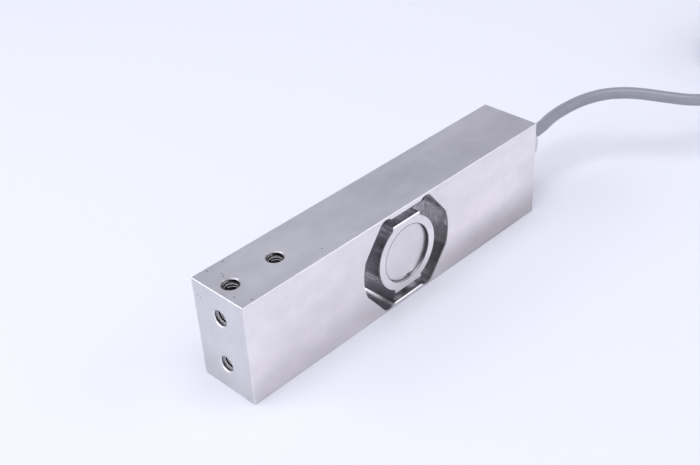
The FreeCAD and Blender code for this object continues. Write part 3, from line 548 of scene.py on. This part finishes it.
def steel_colour(tree, tone, window, hole, painted_glint):
    """The block's colour: painted light and shade on the outside faces, painted shade on the
    inner walls, holes and recess, painted glints on the walls, and the pits.
    """
    sides = mixed(tree, by_facing(tree, "Y", 0.0, 1.0), colour(*STEEL), colour(*SIDE_LIT_STEEL))
    shade = product(tree, soft_patches(tree, SHADES), window)
    base = mixed(tree, window, tinted(tree, sides, tone), colour(*SHADED_WALL_STEEL))
    base = mixed(tree, painted_glint, base, colour(*PAINTED_GLINT_STEEL))
    base = mixed(tree, shade, base, colour(*SHADED_HOLE_STEEL))
    base = mixed(tree, hole, base, hole_shade_tone(tree))
    base = mixed(tree, cone_mask(tree), base, colour(*SHADED_CONE_STEEL))
    base = mixed(tree, recess_shade_mask(tree), base, colour(*RECESS_SHADE_STEEL))
    return mixed(tree, speck_mask(tree), base, colour(*PIT_STEEL))


def steel_roughness(tree, cloud, grain, marks, window, painted_glint):
    """Satin outside, polished on the inner walls and rough again in their painted glints."""
    satin = calculate(tree, "ADD", uneven(tree, cloud, *CLOUD_ROUGHNESS),
                      uneven(tree, grain, *GRAIN_ROUGHNESS))
    polish = calculate(tree, "ADD", uneven(tree, marks, *MARK_ROUGHNESS),
                       product(tree, painted_glint, GLINT_ROUGHER))
    return add_node(tree, "ShaderNodeMix", {0: window, 2: satin, 3: polish}).outputs[0]


def steel_material():
    """Satin ground stainless: cloudy grey, fine scratches along the block, small pits,
    painted shade and painted glints.
    """
    material, tree, shader = new_material("satin_stainless")
    cloud = noise(tree, stretched(tree, CLOUD_STRETCH, CLOUD_TURN), CLOUD_SCALE, roughness=0.55)
    grain = noise(tree, stretched(tree, GRAIN_STRETCH), 1.0)
    marks = noise(tree, stretched(tree, MARK_STRETCH), MARK_SCALE, 2.0, 0.5)
    window, hole = inner_masks(tree)
    painted_glint = product(tree, soft_patches(tree, PAINTED_GLINTS), window)
    tone = steel_tone(tree, cloud, grain)
    tree.links.new(steel_colour(tree, tone, window, hole, painted_glint), shader.inputs["Base Color"])
    tree.links.new(spread(tree, painted_glint, 1.0, GLINT_METALLIC), shader.inputs["Metallic"])
    tree.links.new(steel_roughness(tree, cloud, grain, marks, window, painted_glint),
                   shader.inputs["Roughness"])
    relief = bump(tree, grain, GRAIN_RELIEF * MM, GRAIN_STRENGTH)
    waves = bump(tree, product(tree, marks, window), MARK_RELIEF * MM, 1.0, relief)
    tree.links.new(waves, shader.inputs["Normal"])
    return material


# Covers, and metal that is plated, tinned, cut or welded

COVER_STEEL = (0.79, 0.755, 0.77)
COVER_SCALE = 90.0
COVER_TONES = (0.95, 1.04)
COVER_ROUGHNESS = (0.32, 0.42)
# Distance from one faint lathe ring to the next, their relief, and how strongly it shows
RING_PITCH = 0.45
RING_RELIEF = 0.002
RING_STRENGTH = 0.25
# Residue by the seam: colour, patch, scale of its ragged edge and where that edge lies in the noise
RESIDUE_COLOUR = (0.10, 0.095, 0.10)
RESIDUE = (((1.0, -11.4, 9.2), (3.8, 3.0, 1.4), 1.0),)
RAGGED_SCALE = 650.0
RAGGED_RANGE = (0.42, 0.52)
PLATED_SCALE = 420.0
PLATED_TONES = (0.9, 1.06)
# How far the roughness strays to each side, the relief, and how strongly it shows
PLATED_STRAY = 0.06
PLATED_RELIEF = 0.01
PLATED_STRENGTH = 0.4
# Base colour, roughness, metallic
PLATED = {
    "nickel_brass": ((0.68, 0.665, 0.66), 0.24, 1.0),
    "solder": ((0.72, 0.72, 0.73), 0.3, 1.0),
    # Painted shade on the thread flanks, darker in the top holes, and on the deep turns;
    "shaded_thread_top": ((0.05, 0.049, 0.053), 0.22, 1.0),
    "shaded_thread_side": ((0.30, 0.29, 0.31), 0.22, 1.0),
    # painted highlight on the crests
    "highlit_thread_crest": ((0.98, 0.97, 0.98), 0.3, 0.0),
    "shaded_deep_thread": ((0.16, 0.155, 0.17), 0.25, 1.0),
    "weld_seam": ((0.24, 0.235, 0.25), 0.38, 1.0),
    # Deburred lips: flats that mirror the lamps, with a near-white colour as painted highlight
    "deburred_edge_highlight": ((0.96, 0.95, 0.97), 0.3, 1.0),
    # Painted shadow: the dark line round the covers' recesses
    "recess_shadow_line": ((0.13, 0.125, 0.135), 0.45, 1.0),
}


def cover_material():
    """Lathe-faced cover: faint rings, and at the front a smear of residue by the lower seam."""
    material, tree, shader = new_material("cover_stainless")
    cloud = noise(tree, places(tree), COVER_SCALE, roughness=0.55)
    radius = from_cover_axis(tree)[1]
    rings = calculate(tree, "SINE", product(tree, radius, 2 * math.pi / (RING_PITCH * MM)))
    tint = tinted(tree, COVER_STEEL, uneven(tree, cloud, *COVER_TONES))
    flecks = noise(tree, places(tree), RAGGED_SCALE, 4.0, 0.7)
    ragged = spread(tree, flecks, 0.0, 1.0, *RAGGED_RANGE)
    residue = product(tree, soft_patches(tree, RESIDUE), ragged)
    stained = mixed(tree, residue, tint, colour(*RESIDUE_COLOUR))
    tree.links.new(stained, shader.inputs["Base Color"])
    shader.inputs["Metallic"].default_value = 1.0
    tree.links.new(uneven(tree, cloud, *COVER_ROUGHNESS), shader.inputs["Roughness"])
    tree.links.new(bump(tree, rings, RING_RELIEF * MM, RING_STRENGTH), shader.inputs["Normal"])
    return material


def plated_material(name):
    """Bare or plated metal with a slightly uneven finish."""
    base, roughness, metallic = PLATED[name]
    material, tree, shader = new_material(name)
    cloud = noise(tree, places(tree), PLATED_SCALE)
    tree.links.new(tinted(tree, base, uneven(tree, cloud, *PLATED_TONES)),
                   shader.inputs["Base Color"])
    shader.inputs["Metallic"].default_value = metallic
    tree.links.new(uneven(tree, cloud, roughness - PLATED_STRAY, roughness + PLATED_STRAY),
                   shader.inputs["Roughness"])
    relief = bump(tree, cloud, PLATED_RELIEF * MM, PLATED_STRENGTH)
    tree.links.new(relief, shader.inputs["Normal"])
    return material


# Plastics, rubber and the printed pieces

MOTTLE_SCALE = 150.0
MOULD_GRAIN_SCALE = 900.0
# How far the roughness strays to each side, the relief, and how strongly it shows
MOULDED_STRAY = 0.05
MOULDED_RELIEF = 0.01
MOULDED_STRENGTH = 0.6
# Base colour, roughness, mottle
MOULDED = {
    "black_rubber": ((0.03, 0.03, 0.032), 0.6, 0.06),
    "white_nylon": ((0.74, 0.73, 0.70), 0.42, 0.04),
    "black_sleeve": ((0.035, 0.035, 0.037), 0.5, 0.06),
    "gauge_film": ((0.62, 0.42, 0.16), 0.35, 0.06),
    "green_laminate": ((0.08, 0.24, 0.12), 0.45, 0.06),
    "resistor_body": ((0.10, 0.10, 0.11), 0.4, 0.06),
    "core_green": ((0.05, 0.30, 0.10), 0.38, 0.04),
    "core_white": ((0.78, 0.78, 0.76), 0.38, 0.04),
    "core_yellow": ((0.80, 0.62, 0.05), 0.38, 0.04),
    "core_red": ((0.60, 0.04, 0.03), 0.38, 0.04),
    "core_black": ((0.02, 0.02, 0.022), 0.38, 0.04),
    "core_blue": ((0.04, 0.12, 0.50), 0.38, 0.04),
}
CORES = ("green", "white", "yellow", "red", "black", "blue")
JACKET_COLOUR = (0.275, 0.273, 0.325)
JACKET_SCALE = 120.0
JACKET_GRAIN_SCALE = 1600.0
JACKET_TONES = (0.93, 1.07)
JACKET_ROUGHNESS = (0.30, 0.40)
JACKET_GLOSS = 0.9
JACKET_RELIEF = 0.008
JACKET_STRENGTH = 0.5


def moulded_material(name):
    """A moulded or extruded plastic with slight mottling and a fine surface grain."""
    base, roughness, mottle = MOULDED[name]
    material, tree, shader = new_material(name)
    cloud = noise(tree, places(tree), MOTTLE_SCALE, roughness=0.55)
    grain = noise(tree, places(tree), MOULD_GRAIN_SCALE)
    tree.links.new(tinted(tree, base, uneven(tree, cloud, 1 - mottle, 1 + mottle)),
                   shader.inputs["Base Color"])
    tree.links.new(uneven(tree, grain, roughness - MOULDED_STRAY, roughness + MOULDED_STRAY),
                   shader.inputs["Roughness"])
    relief = bump(tree, grain, MOULDED_RELIEF * MM, MOULDED_STRENGTH)
    tree.links.new(relief, shader.inputs["Normal"])
    return material


def jacket_material():
    """The lead's grey PVC jacket, satin with faint handling marks."""
    material, tree, shader = new_material("grey_pvc")
    cloud = noise(tree, places(tree), JACKET_SCALE)
    grain = noise(tree, places(tree), JACKET_GRAIN_SCALE, 2.0)
    tree.links.new(tinted(tree, JACKET_COLOUR, uneven(tree, cloud, *JACKET_TONES)),
                   shader.inputs["Base Color"])
    tree.links.new(uneven(tree, cloud, *JACKET_ROUGHNESS), shader.inputs["Roughness"])
    shader.inputs["Specular IOR Level"].default_value = JACKET_GLOSS
    relief = bump(tree, grain, JACKET_RELIEF * MM, JACKET_STRENGTH)
    tree.links.new(relief, shader.inputs["Normal"])
    return material


# Threads, weld seams and other fine pieces

# Millimetres, with the thread's root and crest as radii
THREAD_PITCH = 1.0
THREAD_ROOT = 3.03
THREAD_CREST = 2.5
COUNTERSINK = 0.4
CREST_FLAT = 0.36
ROOT_WIDTH = 0.86
# Steps of one turn, and the part of a turn over which the ridge rises at each end
THREAD_STEPS = 40
RUN_OUT = 0.35
# Sides of the ridge's profile, and which of them is the crest
PROFILE_SIDES = 4
CREST_FACE = 1
# Turns under the mouth that keep their flanks and crest; the deeper turns get painted shade
BRIGHT_TURNS = 2.1
# Degrees between faces over which an edge stays sharp
THREAD_SHARP = 30.0
BEAD_SHARP = 60.0


def mesh_object(name, rows, caps=True):
    """A mesh skinned over rings of points, all of the same count."""
    made = bmesh.new()
    rings = [[made.verts.new(point) for point in row] for row in rows]
    count = len(rings[0])
    for low, high in zip(rings, rings[1:]):
        for step in range(count):
            after = (step + 1) % count
            made.faces.new((low[step], low[after], high[after], high[step]))
    if caps:
        made.faces.new(reversed(rings[0]))
        made.faces.new(rings[-1])
    bmesh.ops.recalc_face_normals(made, faces=made.faces)
    mesh = bpy.data.meshes.new(name)
    made.to_mesh(mesh)
    made.free()
    return link(bpy.data.objects.new(name, mesh))


def smooth(item, angle):
    """Shade smoothly but for edges sharper than an angle in degrees."""
    item.data.shade_smooth()
    item.data.set_sharp_from_angle(angle=math.radians(angle))
    return item


def attach(item, slot_name, *materials):
    """Give a piece its materials and the body that it rides on; its slot name is not used."""
    for material in materials:
        item.data.materials.append(material)
    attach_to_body(item, "root")


def thread_rows(mouth, outward, depth):
    """Rings of points of a helical ridge, from under the countersink to near the bottom."""
    axis = Vector(outward).normalized()
    across = axis.orthogonal().normalized()
    beside = axis.cross(across)
    turns = (depth - COUNTERSINK) / THREAD_PITCH - 1.0
    steps = round(turns * THREAD_STEPS)
    rows = []
    for step in range(steps + 1):
        turn = step / THREAD_STEPS
        angle = 2 * math.pi * turn
        out = math.cos(angle) * across + math.sin(angle) * beside
        share = ease(min(turn, turns - turn) / RUN_OUT)
        crest = THREAD_ROOT - share * (THREAD_ROOT - THREAD_CREST)
        level = COUNTERSINK + ROOT_WIDTH / 2 + turn * THREAD_PITCH
        profile = ((THREAD_ROOT, -ROOT_WIDTH / 2), (crest, -CREST_FLAT / 2),
                   (crest, CREST_FLAT / 2), (THREAD_ROOT, ROOT_WIDTH / 2))
        rows.append([mm(*mouth) + (out * radius - axis * (level + lift)) * MM
                     for radius, lift in profile])
    return rows


def make_thread(name, rows, materials):
    """A tapped hole's ridge: flanks, a crest with painted highlight, deep turns in painted shade.
    """
    ridge = smooth(mesh_object(name, rows), THREAD_SHARP)
    attach(ridge, "satin_stainless", *materials)
    for index, face in enumerate(ridge.data.polygons):
        if index > PROFILE_SIDES * BRIGHT_TURNS * THREAD_STEPS:
            face.material_index = 2
        else:
            face.material_index = 1 if index % PROFILE_SIDES == CREST_FACE else 0


# Name, middle of the mouth, direction out of the hole, depth
TAPPED_HOLES = (
    ("top_thread_1", (-69.0, 0.0, 40.0), (0, 0, 1), 6.0),
    ("top_thread_2", (-50.0, 0.0, 40.0), (0, 0, 1), 6.0),
    ("end_thread_1", (-75.0, 0.0, 29.5), (-1, 0, 0), 14.0),
    ("end_thread_2", (-75.0, 0.0, 10.5), (-1, 0, 0), 14.0),
    ("bottom_thread_1", (50.0, 0.0, 0.0), (0, 0, -1), 12.0),
    ("bottom_thread_2", (69.0, 0.0, 0.0), (0, 0, -1), 12.0),
)


def make_threads():
    """The threads of all tapped holes, with flanks in painted shade, darkest where holes open
    upward.
    """
    dark = plated_material("shaded_thread_top")
    light = plated_material("shaded_thread_side")
    crests = plated_material("highlit_thread_crest")
    deep = plated_material("shaded_deep_thread")
    for name, mouth, outward, depth in TAPPED_HOLES:
        flanks = dark if outward[2] > 0 else light
        make_thread(name, thread_rows(mouth, outward, depth), (flanks, crests, deep))


# Steps round a cover, and points round a bead's section
SEAM_STEPS = 240
BEAD_POINTS = 8
SEAM_RADIUS = 11.24
SEAM_BEAD = 0.09
# How far the bead's middle lies under the cover's face, and its height as a share of its width
SEAM_SINK = 0.06
SEAM_HEIGHT = 0.5
# Ripples of the seam: size as a share of the bead, count round the cover
SEAM_RIPPLES = ((0.16, 90), (0.1, 13))


def make_seam(name, cover, outward, material):
    """The fine weld bead that closes a cover's rim, with the ripple of its spots."""
    low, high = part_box(cover)
    centre = (low + high) / 2
    face = low.y if outward < 0 else high.y
    rows = []
    for step in range(SEAM_STEPS + 1):
        angle = 2 * math.pi * step / SEAM_STEPS
        out = Vector((math.cos(angle), 0, math.sin(angle)))
        ripple = 1 + sum(size * math.sin(count * angle) for size, count in SEAM_RIPPLES)
        row = []
        for point in range(BEAD_POINTS):
            turn = 2 * math.pi * point / BEAD_POINTS
            beside = SEAM_RADIUS + SEAM_BEAD * ripple * math.cos(turn)
            lift = outward * (SEAM_HEIGHT * SEAM_BEAD * ripple * math.sin(turn) - SEAM_SINK)
            row.append(Vector((centre.x, face, centre.z)) + out * beside * MM
                       + Vector((0, lift * MM, 0)))
        rows.append(row)
    bead = mesh_object(name, rows, caps=False)
    attach(smooth(bead, BEAD_SHARP), "cover_stainless", material)


# The painted shadow line round a cover's recess, and its depth as a share of its width
RIM_RADIUS = 11.34
RIM_LINE = 0.11
RIM_DEPTH = 0.4
# Half the width of a deburred lip's flat, and how deep its back reaches into the block
LIP_REACH = 0.14
LIP_BACK = 0.1
# Edges with a bright lip: height, left and right end
LIP_EDGES = (("window", 1.8, -7.3, 7.3), ("pad", 34.1, -6.8, 6.8))


def make_lips(material):
    """Deburred lips on the window's lower flat and the hub's upper pad, partly a painted highlight.
    """
    half_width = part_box("measuring_body")[1].y / MM
    section = ((-LIP_REACH, -LIP_REACH), (LIP_REACH, LIP_REACH), (LIP_BACK, -LIP_BACK))
    for side, toward in (("front", 1), ("back", -1)):
        for part, height, left, right in LIP_EDGES:
            rows = [[mm(x, toward * (deep - half_width), height + lift) for deep, lift in section]
                    for x in (left, right)]
            lip = mesh_object(f"{part}_lip_{side}", rows)
            attach(lip, "satin_stainless", material)


def rim_ring(middle, angle):
    """Points round the dark line's section at one angle round the cover."""
    out = Vector((math.cos(angle), 0, math.sin(angle)))
    ring = []
    for point in range(BEAD_POINTS):
        turn = 2 * math.pi * point / BEAD_POINTS
        aside = math.cos(turn) * out + math.sin(turn) * Vector((0, RIM_DEPTH, 0))
        ring.append(middle + out * RIM_RADIUS * MM + aside * RIM_LINE * MM)
    return ring


def make_rims(material):
    """The thin painted shadow line round each cover's recess."""
    centre = cover_middle()
    half_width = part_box("measuring_body")[1].y
    for side, y in (("front", -half_width), ("back", half_width)):
        middle = Vector((centre.x, y, centre.z))
        rows = [rim_ring(middle, 2 * math.pi * step / SEAM_STEPS)
                for step in range(SEAM_STEPS + 1)]
        rim = mesh_object(f"recess_shadow_line_{side}", rows, caps=False)
        attach(smooth(rim, BEAD_SHARP), "satin_stainless", material)


# Floor, lamps and world

FLOOR = (0.875, 0.885, 0.95)
FLOOR_ROUGHNESS = 0.9
# Half the floor's side, in metres
FLOOR_HALF = 6.0


def make_floor():
    """A plain pale floor that reaches far past the view."""
    corners = [(-FLOOR_HALF, -FLOOR_HALF, 0), (FLOOR_HALF, -FLOOR_HALF, 0),
               (FLOOR_HALF, FLOOR_HALF, 0), (-FLOOR_HALF, FLOOR_HALF, 0)]
    mesh = bpy.data.meshes.new("floor")
    mesh.from_pydata(corners, [], [(0, 1, 2, 3)])
    floor = link(bpy.data.objects.new("floor", mesh))
    material, _, shader = new_material("floor")
    shader.inputs["Base Color"].default_value = colour(*FLOOR)
    shader.inputs["Roughness"].default_value = FLOOR_ROUGHNESS
    shader.inputs["Specular IOR Level"].default_value = 0.0
    mesh.materials.append(material)


# Name, place and size in metres, power in watts; each lamp looks at the part's middle
LAMPS = (
    ("left_box", (-1.15, 0.15, 0.9), (1.5, 1.0), 6.3),
    ("right_box", (0.9, -0.9, 1.0), (0.6, 0.45), 1.5),
    ("top_box", (-0.05, -0.15, 1.5), (1.25, 1.25), 11.3),
    ("rim_box", (-0.9, 1.0, 0.95), (0.6, 0.6), 2.2),
)
LAMP_COLOUR = (0.97, 0.98, 1.0)


def make_lamps():
    """Soft boxes to the left, to the right, over the part and behind it."""
    for name, place, (width, height), power in LAMPS:
        light = bpy.data.lights.new(name, "AREA")
        light.shape = "RECTANGLE"
        light.size = width
        light.size_y = height
        light.energy = power
        light.color = LAMP_COLOUR
        lamp = link(bpy.data.objects.new(name, light))
        aim = -Vector(place).normalized()
        turn = aim.to_track_quat("-Z", "Y").to_matrix().to_4x4()
        lamp.matrix_world = Matrix.Translation(place) @ turn


HORIZON = (0.96, 0.965, 1.0)
CEILING = (0.49, 0.495, 0.58)
ZENITH = (0.20, 0.20, 0.23)
# Heights of the view direction between which one band of the world gives way to the next
BACKDROP_TOP = (0.14, 0.42)
CEILING_TOP = (0.66, 0.90)


def make_world():
    """A pale studio backdrop all round, a dimmer ceiling and a dark middle over the block."""
    world = bpy.data.worlds.new("studio")
    bpy.context.scene.world = world
    world.use_nodes = True
    tree = world.node_tree
    direction = add_node(tree, "ShaderNodeTexCoord").outputs["Generated"]
    height = axes(tree, direction)["Z"]
    over = spread(tree, height, 0.0, 1.0, *BACKDROP_TOP, smooth=True)
    overhead = spread(tree, height, 0.0, 1.0, *CEILING_TOP, smooth=True)
    shade = mixed(tree, over, colour(*HORIZON), colour(*CEILING))
    shade = mixed(tree, overhead, shade, colour(*ZENITH))
    tree.links.new(shade, tree.nodes["Background"].inputs["Color"])
    tree.nodes["Background"].inputs["Strength"].default_value = 1.0


# Materials of the nodes that stay as they are

def dress(material, *nodes):
    """Put a material in all slots of some nodes."""
    for name in nodes:
        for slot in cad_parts[name].material_slots:
            slot.material = material


def dress_gland_and_lead(jacket):
    """The gland, the ties and the lead's end pieces."""
    dress(jacket, "cable_in_gland")
    dress(plated_material("nickel_brass"), "gland_body", "gland_nut")
    dress(moulded_material("black_rubber"), "gland_insert", "gland_washer")
    dress(moulded_material("white_nylon"), "gland_slip_ring", "cable_tie_1", "cable_tie_2")
    dress(moulded_material("black_sleeve"), "lead_end_sleeve", "lead_shield_drain")
    for name in CORES:
        insulation = moulded_material("core_" + name)
        dress(insulation, "inner_core_" + name, "lead_core_" + name)


def dress_inside(solder):
    """Gauges, boards, pads and resistors on both sides of the hub's web."""
    film = moulded_material("gauge_film")
    laminate = moulded_material("green_laminate")
    resistor = moulded_material("resistor_body")
    for side in ("front", "back"):
        dress(film, f"strain_gauge_{side}_left", f"strain_gauge_{side}_right")
        dress(laminate, f"terminal_board_{side}")
        dress(solder, f"solder_pads_{side}")
        dress(resistor, f"trim_resistor_{side}")


def dress_nodes(jacket):
    """Every node that stays, in its finish."""
    dress(steel_material(), "measuring_body")
    dress(cover_material(), "cover_front", "cover_back")
    dress_gland_and_lead(jacket)
    solder = plated_material("solder")
    dress(solder, "lead_core_tips")
    dress_inside(solder)


make_camera()
grey_jacket = jacket_material()
make_lead(grey_jacket)
dress_nodes(grey_jacket)
make_threads()
weld = plated_material("weld_seam")
make_seam("seam_front", "cover_front", -1, weld)
make_seam("seam_back", "cover_back", 1, weld)
make_lips(plated_material("deburred_edge_highlight"))
make_rims(plated_material("recess_shadow_line"))
make_floor()
make_lamps()
make_world()
bpy.context.scene.view_settings.view_transform = "Standard"
